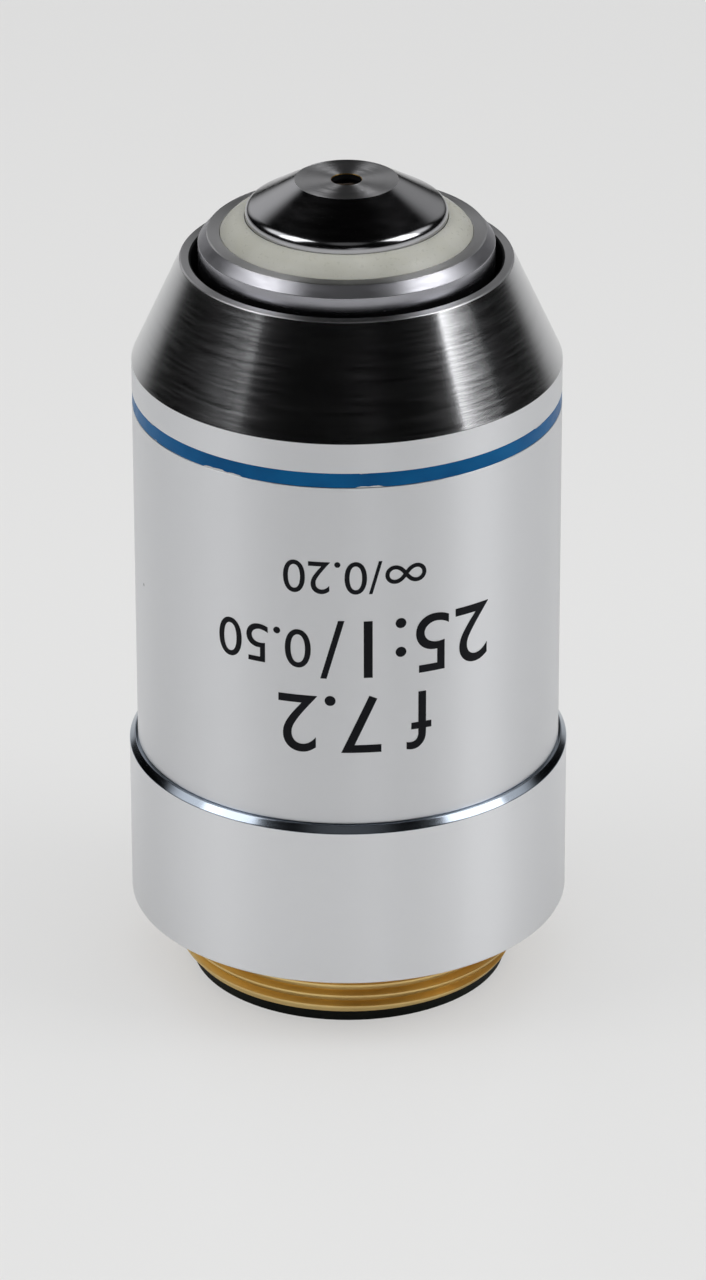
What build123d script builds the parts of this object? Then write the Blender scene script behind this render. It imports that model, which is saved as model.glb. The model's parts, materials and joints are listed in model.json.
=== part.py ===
from build123d import *

import math
import os

# Microscope objective with a spring-loaded front, in millimetres.
# The optical axis is Z. The rear end face stands on z = 0 and the front lens looks up.

# Rear end and mounting thread
thread_d = 20.2
thread_l = 3.61
thread_chamfer = 0.3
thread_wall = 1.5
waist_step = 1.1
relief_depth = 0.6
relief_w = 0.45
undercut_share = 0.1081
undercut_h = 0.35
rear_ring_step = 0.8
rear_ring_t = 0.74
rear_ring_wall = 1.8
rear_spigot_l = 2.5
rear_slot_margin = 1.2

# Outer barrel
barrel_d = 24.78
barrel_l = 23.91
barrel_wall = 1.16
cone_h = 6.23
cone_bore_drop = 0.9
cone_w = 2.85
rim_w = 0.62
rim_edge_break = 0.12
band_w = 0.884
band_drop = 1.795
band_depth = 0.12

# Base ring and the guide tube that stands on it
base_step = 0.485
base_h = 9.97
base_edge_break = 0.15
base_bevel_h = 0.245
ledge_h = 4.65
guide_tube_chamfer = 0.3

# Sliding lens sleeve
travel = 2.0
collar_share = 0.2804
collar_l = 12.0
collar_drop = 13.705
nose_wall = 2.59
tail_wall = 1.3
tail_overhang = 1.4
nose_rise = 0.95
nose_edge_break = 0.12
slope_h = 0.62
land_w = 0.72

# Rings at the front of the guide tube
stop_ring_t = 1.6
lock_ring_t = 1.4

# Guide screw
screw_d = 1.6
screw_rise = 5.95
screw_slot_w = 0.3
screw_slot_depth = 0.4
dog_d = 1.0
dog_reach = 0.95

# Retraction spring
spring_turns = 5.0
wire_d = 0.8
wire_sides = 8
ground_share = 0.6

# Front cell and its seal
tip_rise = 3.115
front_face_w = 1.27
skirt_h = 1.08
skirt_lip = 0.8
disc_d = 5.92
front_hole_d = 1.74
front_lip_t = 0.35
shank_l = 6.2
shank_wall = 0.8
seal_w = 1.42
seal_seat_depth = 0.52
seal_ledge_h = 1.0
seal_rise = 0.93
seal_crown = 0.16

# Lens cells
lip_t = 0.5
second_cell_l = 3.4
front_doublet_cell_l = 5.5
doublet_spacer_l = 1.4
middle_doublet_cell_l = 5.1
aperture_spacer_l = 7.8
rear_doublet_cell_l = 5.6
retaining_ring_l = 1.6
retaining_ring_w = 1.37
spacer_wall = 1.2
aperture_web_w = 1.27
aperture_web_t = 0.8
second_cell_wall = 0.85
front_doublet_wall = 0.95
middle_doublet_wall = 1.05
rear_doublet_wall = 1.55

# Lens elements: crowns by their thickness at the edge, flints by their thickness in the middle
# A surface is given by its radius of curvature over the lens's edge radius.
# A positive one domes up and a negative one domes down.
flat = math.inf
front_lens_d = 4.0
front_lens_edge_t = 0.9
front_lens_back_ratio = -1.3
second_lens_edge_t = 1.025
second_lens_front_ratio = -2.12
second_lens_back_ratio = -1.27
front_crown_edge_t = 1.12
front_crown_front_ratio = 2.245
front_doublet_joint_ratio = -1.47
front_flint_t = 1.1
front_flint_back_ratio = -3.67
middle_flint_t = 1.1
middle_flint_front_ratio = 2.917
middle_doublet_joint_ratio = 1.375
middle_crown_edge_t = 0.893
middle_crown_back_ratio = -3.333
rear_crown_edge_t = 0.774
rear_crown_front_ratio = 2.093
rear_doublet_joint_ratio = -3.023
rear_flint_t = 1.1
rear_flint_back_ratio = 1.442
lens_rim_w = 0.6

# Spanner slots in the screwed rings
spanner_slot_w = 1.0
spanner_slot_depth = 0.6

# Clearances
screwed_fit = 0.03
running_fit = 0.05
ring_gap = 0.08
mouth_gap = 0.43
tail_gap = 0.3
cement_gap = 0.02
end_gap = 0.2
slot_side_gap = 0.03

# Radii, from the barrel in to the lenses
barrel_r = barrel_d / 2
base_r = barrel_r + base_step
barrel_bore_r = barrel_r - barrel_wall
tube_r = barrel_bore_r - screwed_fit
rim_r = barrel_r - cone_w
mouth_r = rim_r - rim_w
nose_r = mouth_r - mouth_gap
collar_step = collar_share * (tube_r - nose_r)
collar_r = nose_r + collar_step
guide_bore_r = collar_r + running_fit
guide_ring_r = guide_bore_r - screwed_fit
ring_hole_r = nose_r + ring_gap
lens_bore_r = nose_r - nose_wall
cell_r = lens_bore_r - screwed_fit
tail_r = lens_bore_r + tail_wall
ledge_bore_r = tail_r + tail_gap
thread_r = thread_d / 2
undercut_w = undercut_share * (base_r - thread_r)
rear_ring_r = thread_r - rear_ring_step
rear_bore_r = thread_r - thread_wall
waist_r = rear_bore_r - waist_step
rear_spigot_r = rear_bore_r - screwed_fit
rear_hole_r = rear_spigot_r - rear_ring_wall
seal_r = nose_r - front_face_w
skirt_r = seal_r - seal_w
shank_r = skirt_r - skirt_lip
shank_bore_r = shank_r - shank_wall
second_cell_r = shank_bore_r - screwed_fit
second_lens_r = second_cell_r - second_cell_wall - cement_gap
front_doublet_r = cell_r - front_doublet_wall - cement_gap
middle_doublet_r = cell_r - middle_doublet_wall - cement_gap
rear_doublet_r = cell_r - rear_doublet_wall - cement_gap

# Heights, from the rear end up
thread_end_z = rear_ring_t
shoulder_z = thread_end_z + thread_l
base_edge_z = shoulder_z + base_h
seat_z = base_edge_z + base_bevel_h
cone_z = seat_z + barrel_l
rim_z = cone_z + cone_h
band_top_z = cone_z - band_drop
ledge_z = shoulder_z + ledge_h
collar_top_z = rim_z - collar_drop
collar_z = collar_top_z - collar_l
spring_l = collar_z - ledge_z
screw_z = collar_z + screw_rise
stop_top_z = collar_top_z + stop_ring_t
lock_top_z = stop_top_z + lock_ring_t
nose_edge_z = rim_z + nose_rise
land_z = nose_edge_z + slope_h
seal_seat_z = land_z - seal_seat_depth
skirt_z = seal_seat_z + seal_ledge_h
tip_z = land_z + tip_rise

# Heights of the stacked cells, from the front down
second_cell_z = skirt_z - end_gap
front_doublet_z = skirt_z - shank_l
doublet_spacer_top_z = front_doublet_z - front_doublet_cell_l
middle_doublet_z = doublet_spacer_top_z - doublet_spacer_l
aperture_spacer_top_z = middle_doublet_z - middle_doublet_cell_l
rear_doublet_z = aperture_spacer_top_z - aperture_spacer_l
retaining_ring_top_z = rear_doublet_z - rear_doublet_cell_l
tail_z = retaining_ring_top_z - retaining_ring_l - tail_overhang


def turned(*corners):
    """Turn a closed outline of (radius, height) corners about the optical axis."""
    points = [(radius, 0, height) for radius, height in corners]
    return revolve(make_face(Polyline(*points, close=True)), Axis.Z)


def surface_z(vertex_z, radius, distance):
    """Height of a lens surface at a distance from the axis."""
    if math.isinf(radius):
        return vertex_z
    sag = abs(radius) - math.sqrt(radius**2 - distance**2)
    return vertex_z - math.copysign(sag, radius)


def surface_edge(vertex_z, radius, edge_r):
    """Half of a lens surface's section, from the axis out to the lens edge."""
    points = [(r, 0, surface_z(vertex_z, radius, r)) for r in (0, edge_r / 2, edge_r)]
    if math.isinf(radius):
        return Line(points[0], points[2])
    return ThreePointArc(*points)


def lens(front_vertex_z, front_radius, back_vertex_z, back_radius, edge_r):
    """One lens element between two surfaces, ground to its edge radius."""
    front = surface_edge(front_vertex_z, front_radius, edge_r)
    back = surface_edge(back_vertex_z, back_radius, edge_r)
    rim = Line(front @ 1, back @ 1)
    axis = Line(back @ 0, front @ 0)
    return revolve(make_face([front, rim, back, axis]), Axis.Z)


def vertex_through(height, radius, distance):
    """Vertex height of a lens surface that passes through a height at a distance from the axis."""
    return 2 * height - surface_z(height, radius, distance)


def seated_vertex_z(lip_z, radius, edge_r):
    """Vertex height of a lens whose front surface rests under a cell's lip."""
    touch_r = edge_r - lens_rim_w if radius > 0 else edge_r
    return vertex_through(lip_z, radius, touch_r)


def crown_thickness(edge_t, front_radius, back_radius, edge_r):
    """Middle thickness of a lens element that has a given thickness at its edge."""
    return edge_t - surface_z(0, front_radius, edge_r) + surface_z(0, back_radius, edge_r)


def lens_cell(outer_r, top_z, length, lens_r):
    """A tube that holds a lens by its edge, with a lip over the lens's front."""
    pocket_r = lens_r + cement_gap
    aperture_r = lens_r - lens_rim_w
    lip_z = top_z - lip_t
    bottom_z = top_z - length
    return turned(
        (outer_r, bottom_z),
        (outer_r, top_z),
        (aperture_r, top_z),
        (aperture_r, lip_z),
        (pocket_r, lip_z),
        (pocket_r, bottom_z),
    )


def spanner_slots(face_z, outer_r, faces_up):
    """Cutter for two slots across a ring's face, for a pin spanner."""
    inward = -1 if faces_up else 1
    centre_z = face_z + inward * spanner_slot_depth / 2
    return Pos(0, 0, centre_z) * Box(2 * outer_r, spanner_slot_w, spanner_slot_depth)


def radial_rod(radius, inner_r, outer_r):
    """A rod along the guide screw's line, between two distances from the optical axis."""
    middle_r = (inner_r + outer_r) / 2
    return Pos(middle_r, 0, screw_z) * Rot(0, 90, 0) * Cylinder(radius, outer_r - inner_r)


def tube(outer_r, inner_r, bottom_z, top_z):
    """A plain ring or spacer."""
    return turned((inner_r, bottom_z), (outer_r, bottom_z), (outer_r, top_z), (inner_r, top_z))


# Mount base: thread, shoulder, base ring and guide tube, turned from one bar
def make_mount_base():
    relief_z = shoulder_z - relief_w
    relief_r = thread_r - relief_depth
    undercut_r = thread_r + undercut_w
    undercut_z = shoulder_z + undercut_h
    rear_bore_end_z = thread_end_z + rear_spigot_l + end_gap
    body = turned(
        (rear_bore_r, thread_end_z),
        (thread_r - thread_chamfer, thread_end_z),
        (thread_r, thread_end_z + thread_chamfer),
        (thread_r, relief_z),
        (relief_r, relief_z),
        (relief_r, undercut_z),
        (undercut_r, undercut_z),
        (undercut_r, shoulder_z),
        (base_r - base_edge_break, shoulder_z),
        (base_r, shoulder_z + base_edge_break),
        (base_r, base_edge_z),
        (barrel_r, seat_z),
        (tube_r, seat_z),
        (tube_r, lock_top_z - guide_tube_chamfer),
        (tube_r - guide_tube_chamfer, lock_top_z),
        (guide_bore_r, lock_top_z),
        (guide_bore_r, ledge_z),
        (ledge_bore_r, ledge_z),
        (waist_r, rear_bore_end_z),
        (rear_bore_r, rear_bore_end_z),
    )
    return body - radial_rod(screw_d / 2 + screwed_fit, tail_r, barrel_r)


# Rear ring: black light baffle screwed into the thread's bore
def make_rear_ring():
    spigot_z = thread_end_z + rear_spigot_l
    body = turned(
        (rear_hole_r, 0),
        (rear_ring_r, 0),
        (rear_ring_r, thread_end_z),
        (rear_spigot_r, thread_end_z),
        (rear_spigot_r, spigot_z),
        (rear_hole_r, spigot_z),
    )
    return body - spanner_slots(0, rear_ring_r - rear_slot_margin, faces_up=False)


# Outer barrel: cylinder and front cone in one piece, with the groove of the colour band
def make_outer_barrel():
    cone_slope = cone_h / cone_w
    bore_top_z = cone_z - cone_bore_drop
    lip_z = bore_top_z + (barrel_bore_r - mouth_r) * cone_slope
    groove_r = barrel_r - band_depth
    return turned(
        (barrel_bore_r, seat_z),
        (barrel_r, seat_z),
        (barrel_r, band_top_z - band_w),
        (groove_r, band_top_z - band_w),
        (groove_r, band_top_z),
        (barrel_r, band_top_z),
        (barrel_r, cone_z),
        (rim_r, rim_z - rim_edge_break),
        (rim_r - rim_edge_break, rim_z),
        (mouth_r + rim_edge_break, rim_z),
        (mouth_r, rim_z - rim_edge_break),
        (mouth_r, lip_z),
        (barrel_bore_r, bore_top_z),
    )


# Colour band: lacquer that fills the barrel's groove
def make_colour_band():
    return tube(barrel_r, barrel_r - band_depth, band_top_z - band_w, band_top_z)


# Stop ring and lock ring: set how far the sleeve comes forward
def make_stop_ring():
    ring = tube(guide_ring_r, ring_hole_r, collar_top_z, stop_top_z)
    return ring - spanner_slots(stop_top_z, guide_ring_r, faces_up=True)


def make_lock_ring():
    ring = tube(guide_ring_r, ring_hole_r, stop_top_z, lock_top_z)
    return ring - spanner_slots(lock_top_z, guide_ring_r, faces_up=True)


# Guide screw: its dog point runs in the collar's slot and keeps the sleeve from turning
def make_guide_screw():
    shank_end_r = guide_bore_r + end_gap
    shank = radial_rod(screw_d / 2, shank_end_r, tube_r)
    dog = radial_rod(dog_d / 2, collar_r - dog_reach, shank_end_r)
    slot_x = tube_r - screw_slot_depth / 2
    driver_slot = Pos(slot_x, 0, screw_z) * Box(screw_slot_depth, screw_d, screw_slot_w)
    return shank + dog - driver_slot


# Retraction spring: coil with ends ground flat between the ledge and the collar
def make_retraction_spring():
    coil_r = (tail_r + guide_bore_r) / 2
    wire_r = wire_d / 2
    inset = wire_r * (1 - ground_share)
    rise = spring_l - 2 * inset
    path = Pos(0, 0, ledge_z + inset) * Helix(rise / spring_turns, rise, coil_r)
    section = Plane(path @ 0, z_dir=path % 0) * RegularPolygon(wire_r, wire_sides)
    wire = sweep(section, path, is_frenet=True)
    return wire & tube(coil_r + wire_d, coil_r - wire_d, ledge_z, collar_z)


# Lens sleeve: tail, guided collar and nose, bored for the lens cells
def make_lens_sleeve():
    front_bore_r = shank_r + screwed_fit
    seal_pocket_r = seal_r + screwed_fit
    land_r = seal_pocket_r + land_w
    edge_break_w = nose_edge_break / slope_h * (nose_r - land_r)
    body = turned(
        (lens_bore_r, tail_z),
        (tail_r, tail_z),
        (tail_r, collar_z),
        (collar_r, collar_z),
        (collar_r, collar_top_z),
        (nose_r, collar_top_z),
        (nose_r, nose_edge_z - nose_edge_break),
        (nose_r - edge_break_w, nose_edge_z + nose_edge_break),
        (land_r, land_z),
        (seal_pocket_r, land_z),
        (seal_pocket_r, seal_seat_z),
        (front_bore_r, seal_seat_z),
        (front_bore_r, front_doublet_z),
        (lens_bore_r, front_doublet_z),
    )
    slot_w = dog_d + 2 * slot_side_gap
    slot_depth = dog_reach + end_gap
    slot_low_z = screw_z - dog_d / 2 - end_gap
    slot_l = travel + dog_d + 2 * end_gap
    slot_x = collar_r - slot_depth / 2
    return body - Pos(slot_x, 0, slot_low_z + slot_l / 2) * Box(slot_depth, slot_w, slot_l)


# Front cell: polished nose cap with the front lens behind its hole
def make_front_cell():
    lens_pocket_r = front_lens_d / 2 + cement_gap
    return turned(
        (shank_bore_r, front_doublet_z),
        (shank_r, front_doublet_z),
        (shank_r, skirt_z),
        (skirt_r, skirt_z),
        (skirt_r, skirt_z + skirt_h),
        (disc_d / 2, tip_z),
        (front_hole_d / 2, tip_z),
        (front_hole_d / 2, tip_z - front_lip_t),
        (lens_pocket_r, tip_z - front_lip_t),
        (lens_pocket_r, second_cell_z),
        (shank_bore_r, second_cell_z),
    )


# Seal ring: gasket with a domed shoulder between the front cell's skirt and the sleeve
def make_seal_ring():
    outer = Vector(seal_r, 0, land_z)
    inner = Vector(skirt_r + screwed_fit, 0, land_z + seal_rise)
    chord = inner - outer
    outward = Vector(chord.Z, 0, -chord.X).normalized()
    dome = ThreePointArc(outer, (outer + inner) / 2 + outward * seal_crown, inner)
    rest = Polyline(
        dome @ 1,
        (inner.X, 0, skirt_z),
        (shank_r + screwed_fit, 0, skirt_z),
        (shank_r + screwed_fit, 0, seal_seat_z),
        (seal_r, 0, seal_seat_z),
        dome @ 0,
    )
    return revolve(make_face(dome.edges() + rest.edges()), Axis.Z)


# Front lens: plano-convex, flat side out
def make_front_lens():
    front_z = tip_z - front_lip_t
    edge_r = front_lens_d / 2
    back = front_lens_back_ratio * edge_r
    back_z = vertex_through(front_z - front_lens_edge_t, back, edge_r)
    return lens(front_z, flat, back_z, back, edge_r)


# Second lens: meniscus under the lip of its own cell, inside the front cell
def make_second_lens():
    front = second_lens_front_ratio * second_lens_r
    back = second_lens_back_ratio * second_lens_r
    vertex_z = seated_vertex_z(second_cell_z - lip_t, front, second_lens_r)
    thickness = crown_thickness(second_lens_edge_t, front, back, second_lens_r)
    return lens(vertex_z, front, vertex_z - thickness, back, second_lens_r)


# Doublets: a crown and a flint cemented together under a cell's lip
def make_doublet(cell_top_z, edge_r, upper_front, upper_t, joint, lower_t, lower_back):
    upper_z = seated_vertex_z(cell_top_z - lip_t, upper_front, edge_r)
    joint_z = upper_z - upper_t
    upper = lens(upper_z, upper_front, joint_z, joint, edge_r)
    lower_z = joint_z - cement_gap
    lower = lens(lower_z, joint, lower_z - lower_t, lower_back, edge_r)
    return upper, lower


def make_front_doublet():
    edge_r = front_doublet_r
    front = front_crown_front_ratio * edge_r
    joint = front_doublet_joint_ratio * edge_r
    back = front_flint_back_ratio * edge_r
    crown_t = crown_thickness(front_crown_edge_t, front, joint, edge_r)
    return make_doublet(front_doublet_z, edge_r, front, crown_t, joint, front_flint_t, back)


def make_middle_doublet():
    edge_r = middle_doublet_r
    front = middle_flint_front_ratio * edge_r
    joint = middle_doublet_joint_ratio * edge_r
    back = middle_crown_back_ratio * edge_r
    crown_t = crown_thickness(middle_crown_edge_t, joint, back, edge_r)
    return make_doublet(middle_doublet_z, edge_r, front, middle_flint_t, joint, crown_t, back)


def make_rear_doublet():
    edge_r = rear_doublet_r
    front = rear_crown_front_ratio * edge_r
    joint = rear_doublet_joint_ratio * edge_r
    back = rear_flint_back_ratio * edge_r
    crown_t = crown_thickness(rear_crown_edge_t, front, joint, edge_r)
    return make_doublet(rear_doublet_z, edge_r, front, crown_t, joint, rear_flint_t, back)


# Aperture spacer: long tube with the web that limits the beam
def make_aperture_spacer():
    bore_r = cell_r - spacer_wall
    aperture_r = bore_r - aperture_web_w
    bottom_z = aperture_spacer_top_z - aperture_spacer_l
    web_z = bottom_z + aperture_spacer_l / 2
    return turned(
        (cell_r, bottom_z),
        (cell_r, aperture_spacer_top_z),
        (bore_r, aperture_spacer_top_z),
        (bore_r, web_z + aperture_web_t),
        (aperture_r, web_z + aperture_web_t / 2),
        (bore_r, web_z),
        (bore_r, bottom_z),
    )


def make_lens_retaining_ring():
    bottom_z = retaining_ring_top_z - retaining_ring_l
    ring = tube(cell_r, cell_r - retaining_ring_w, bottom_z, retaining_ring_top_z)
    return ring - spanner_slots(bottom_z, cell_r, faces_up=False)


front_crown, front_flint = make_front_doublet()
middle_flint, middle_crown = make_middle_doublet()
rear_crown, rear_flint = make_rear_doublet()

pieces = {
    "mount_base": make_mount_base(),
    "rear_ring": make_rear_ring(),
    "outer_barrel": make_outer_barrel(),
    "colour_band": make_colour_band(),
    "stop_ring": make_stop_ring(),
    "lock_ring": make_lock_ring(),
    "guide_screw": make_guide_screw(),
    "retraction_spring": make_retraction_spring(),
    "lens_sleeve": make_lens_sleeve(),
    "front_cell": make_front_cell(),
    "seal_ring": make_seal_ring(),
    "front_lens": make_front_lens(),
    "second_lens_cell": lens_cell(second_cell_r, second_cell_z, second_cell_l, second_lens_r),
    "second_lens": make_second_lens(),
    "front_doublet_cell": lens_cell(cell_r, front_doublet_z, front_doublet_cell_l, front_doublet_r),
    "front_doublet_crown": front_crown,
    "front_doublet_flint": front_flint,
    "doublet_spacer": tube(cell_r, cell_r - spacer_wall, middle_doublet_z, doublet_spacer_top_z),
    "middle_doublet_cell": lens_cell(cell_r, middle_doublet_z, middle_doublet_cell_l, middle_doublet_r),
    "middle_doublet_flint": middle_flint,
    "middle_doublet_crown": middle_crown,
    "aperture_spacer": make_aperture_spacer(),
    "rear_doublet_cell": lens_cell(cell_r, rear_doublet_z, rear_doublet_cell_l, rear_doublet_r),
    "rear_doublet_crown": rear_crown,
    "rear_doublet_flint": rear_flint,
    "lens_retaining_ring": make_lens_retaining_ring(),
}

os.makedirs("parts", exist_ok=True)
for name, piece in pieces.items():
    export_step(piece, f"parts/{name}.step")
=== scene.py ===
"""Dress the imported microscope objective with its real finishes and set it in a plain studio.

The objective stands on its rear end with the optical axis along Z. Sizes are in metres and come from the
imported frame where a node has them, and otherwise from the named fields of each class.
"""

from __future__ import annotations

import json
import logging
import math
from abc import ABC, abstractmethod
from dataclasses import dataclass
from enum import Enum
from functools import cached_property
from typing import Any, Sequence

import bmesh
import bpy
from mathutils import Matrix, Vector

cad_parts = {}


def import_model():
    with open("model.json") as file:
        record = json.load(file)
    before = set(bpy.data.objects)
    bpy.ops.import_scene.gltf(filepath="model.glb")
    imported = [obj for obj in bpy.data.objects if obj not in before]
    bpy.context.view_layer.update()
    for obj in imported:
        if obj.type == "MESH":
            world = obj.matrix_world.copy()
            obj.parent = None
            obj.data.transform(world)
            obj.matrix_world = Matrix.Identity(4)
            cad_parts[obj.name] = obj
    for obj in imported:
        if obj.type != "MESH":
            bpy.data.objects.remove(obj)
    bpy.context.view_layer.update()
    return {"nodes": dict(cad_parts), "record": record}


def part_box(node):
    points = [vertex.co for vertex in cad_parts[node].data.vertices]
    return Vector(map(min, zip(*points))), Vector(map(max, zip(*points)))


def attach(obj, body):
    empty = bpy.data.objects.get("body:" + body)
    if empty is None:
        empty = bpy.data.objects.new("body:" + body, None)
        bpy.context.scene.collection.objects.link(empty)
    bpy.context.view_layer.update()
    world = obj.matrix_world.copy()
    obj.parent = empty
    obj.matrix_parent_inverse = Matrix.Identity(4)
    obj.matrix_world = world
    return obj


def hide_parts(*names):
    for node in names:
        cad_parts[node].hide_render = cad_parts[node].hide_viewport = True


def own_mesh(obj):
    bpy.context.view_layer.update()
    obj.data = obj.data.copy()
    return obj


LOG = logging.getLogger("objective")
MM_PER_METRE = 1000
SHARP_ANGLE = math.radians(28)

Colour = tuple[float, float, float]
SectionPoint = tuple[float, float, int]
Socket = bpy.types.NodeSocket
Material = bpy.types.Material
Piece = bpy.types.Object


class Body(Enum):
    """The two bodies that pieces ride on."""

    BARREL = "barrel"
    NOSE = "nose"


class Slot(Enum):
    """Material slots of the record."""

    SATIN_CHROME = "satin_chrome"
    PLATED_BRASS = "plated_brass"
    PLAIN_BRASS = "plain_brass"
    BLACK_PAINT = "black_paint"
    BLUE_LACQUER = "blue_lacquer"
    SLEEVE_CHROME = "sleeve_chrome"
    CREAM_POLYMER = "cream_polymer"
    POLISHED_STEEL = "polished_steel"
    SPRING_STEEL = "spring_steel"
    CROWN_GLASS = "crown_glass"


def linear(*display: int) -> Colour:
    """Turn a display colour into the linear colour that shaders read.

    Args:
        *display: Red, green and blue, from 0 to 255.

    Returns:
        The linear red, green and blue.
    """
    shares = [value / 255 for value in display]
    return tuple(one / 12.92 if one <= 0.04045 else ((one + 0.055) / 1.055) ** 2.4 for one in shares)


def direction(azimuth: float, elevation: float) -> Vector:
    """Give a direction from two angles in degrees.

    Args:
        azimuth: Angle from the camera's side, to the right.
        elevation: Angle above the floor.

    Returns:
        The direction, of length 1.
    """
    side, lift = math.radians(azimuth), math.radians(elevation)
    return Vector((math.sin(side) * math.cos(lift), -math.cos(side) * math.cos(lift), math.sin(lift)))


class Nodes:
    """A node tree, with short calls to add and join nodes."""

    def __init__(self, tree: bpy.types.NodeTree) -> None:
        """Take a tree and empty it."""
        self.tree = tree
        self.tree.nodes.clear()

    def put(self, target: Socket, value: Any) -> None:
        """Link an input to a socket, or set it to a number, a vector or a colour without alpha.

        Args:
            target: The input.
            value: What it gets.
        """
        if isinstance(value, Socket):
            self.tree.links.new(value, target)
        else:
            target.default_value = (*value, 1.0) if target.type == "RGBA" else value

    def add(self, kind: str, values: dict[str | int, Any] | None = None, **settings: Any) -> bpy.types.Node:
        """Add a node.

        Args:
            kind: Blender's type name of the node.
            values: Input values, or sockets to link, by socket name or number.
            **settings: Properties of the node itself.

        Returns:
            The new node.
        """
        node = self.tree.nodes.new(kind)
        for key, value in settings.items():
            setattr(node, key, value)
        for key, value in (values or {}).items():
            self.put(node.inputs[key], value)
        return node

    def math(self, operation: str, first: Any, second: Any = 0.0, clamp: bool = False) -> Socket:
        """Add a Math node.

        Args:
            operation: Name of the operation.
            first: First value or socket.
            second: Second value or socket.
            clamp: Keep the result between 0 and 1.

        Returns:
            The result's socket.
        """
        values = {0: first, 1: second}
        return self.add("ShaderNodeMath", values, operation=operation, use_clamp=clamp).outputs[0]

    def band(
        self, value: Socket, low: float, high: float, start: float = 0.0, end: float = 1.0, **settings: Any
    ) -> Socket:
        """Map a range of values to another range, clamped.

        Args:
            value: The value's socket.
            low: Start of the source range.
            high: End of the source range.
            start: Result at the start.
            end: Result at the end.
            **settings: Properties of the node.

        Returns:
            The mapped value's socket.
        """
        values = {"Value": value, "From Min": low, "From Max": high, "To Min": start, "To Max": end}
        return self.add("ShaderNodeMapRange", values, **settings).outputs["Result"]


class Sketch(Nodes):
    """A material's node tree, with its Principled shader and output."""

    NOISE_RANGE = (0.3, 0.7)
    COARSE = 1.0
    MIDDLING = 2.0
    FINE = 3.0
    MARK_SLANT = 0.83

    def __init__(self, name: str) -> None:
        """Start a material.

        Args:
            name: Name of the material.
        """
        self.material = bpy.data.materials.new(name)
        self.material.use_nodes = True
        super().__init__(self.material.node_tree)
        self.shader = self.add("ShaderNodeBsdfPrincipled")
        self.output = self.add("ShaderNodeOutputMaterial", {"Surface": self.shader.outputs["BSDF"]})

    def feed(self, values: dict[str, Any]) -> Material:
        """Set or link inputs of the Principled shader.

        Args:
            values: Numbers, colours or sockets, by input name.

        Returns:
            The material.
        """
        for name, value in values.items():
            self.put(self.shader.inputs[name], value)
        return self.material

    def place(self) -> Socket:
        """Give the Object coordinates of the piece."""
        return self.add("ShaderNodeTexCoord").outputs["Object"]

    def noise(self, vector: Socket, scale: float, detail: float = MIDDLING) -> Socket:
        """Add a noise texture.

        Args:
            vector: Coordinates.
            scale: Scale per unit of the coordinates.
            detail: Octaves of finer noise.

        Returns:
            The noise value's socket.
        """
        values = {"Vector": vector, "Scale": scale, "Detail": detail}
        return self.add("ShaderNodeTexNoise", values).outputs["Fac"]

    def specks(self, scale: float, core: float, rim: float, share: float) -> Socket:
        """Strew small round specks.

        Args:
            scale: Cells per metre.
            core: Radius of a speck's full part, in cells.
            rim: Radius where it ends, in cells.
            share: Share of the cells that have a speck.

        Returns:
            A socket that is 1 in the specks.
        """
        cells = self.add("ShaderNodeTexVoronoi", {"Vector": self.place(), "Scale": scale}).outputs
        near = self.band(cells["Distance"], core, rim, 1.0, 0.0)
        picked = self.add("ShaderNodeSeparateColor", {0: cells["Color"]}).outputs[0]
        return self.math("MULTIPLY", near, self.math("LESS_THAN", picked, share))

    def mix(self, share: Socket, first: Any, second: Any) -> Socket:
        """Mix two colours.

        Args:
            share: How much of the second colour shows.
            first: First colour or socket.
            second: Second colour or socket.

        Returns:
            The mixed colour's socket.
        """
        return self.add("ShaderNodeMix", {0: share, 6: first, 7: second}, data_type="RGBA").outputs[2]

    def bump(self, height: Socket, depth: float) -> Socket:
        """Turn a height from 0 to 1, with its full depth in metres, into a bumped normal."""
        return self.add("ShaderNodeBump", {"Height": height, "Distance": depth}).outputs["Normal"]

    def turned_lines(self, around: float, across: float) -> Socket:
        """Give coordinates for tool marks that run round the optical axis.

        Args:
            around: Scale round the axis, per metre.
            across: Scale from one mark to the next, per metre.

        Returns:
            The coordinates' socket.
        """
        parts = self.add("ShaderNodeSeparateXYZ", {0: self.place()}).outputs
        flat = self.add("ShaderNodeCombineXYZ", {"X": parts["X"], "Y": parts["Y"]})
        reach = self.add("ShaderNodeVectorMath", {0: flat.outputs[0]}, operation="LENGTH").outputs["Value"]
        along = self.math("ADD", parts["Z"], self.math("MULTIPLY", reach, self.MARK_SLANT))
        values = {
            "X": self.math("MULTIPLY", parts["X"], around),
            "Y": self.math("MULTIPLY", parts["Y"], around),
            "Z": self.math("MULTIPLY", along, across),
        }
        return self.add("ShaderNodeCombineXYZ", values).outputs[0]

    def tangent(self) -> Socket:
        """Give the direction across the tool marks, from the piece's own UV map."""
        node = self.add("ShaderNodeTangent", direction_type="UV_MAP", uv_map=Lathe.UV_NAME)
        return node.outputs["Tangent"]


@dataclass(frozen=True)
class Finish(ABC):
    """A surface finish that makes its own material."""

    name: str

    @abstractmethod
    def make(self) -> Material:
        """Build the material."""


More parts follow.
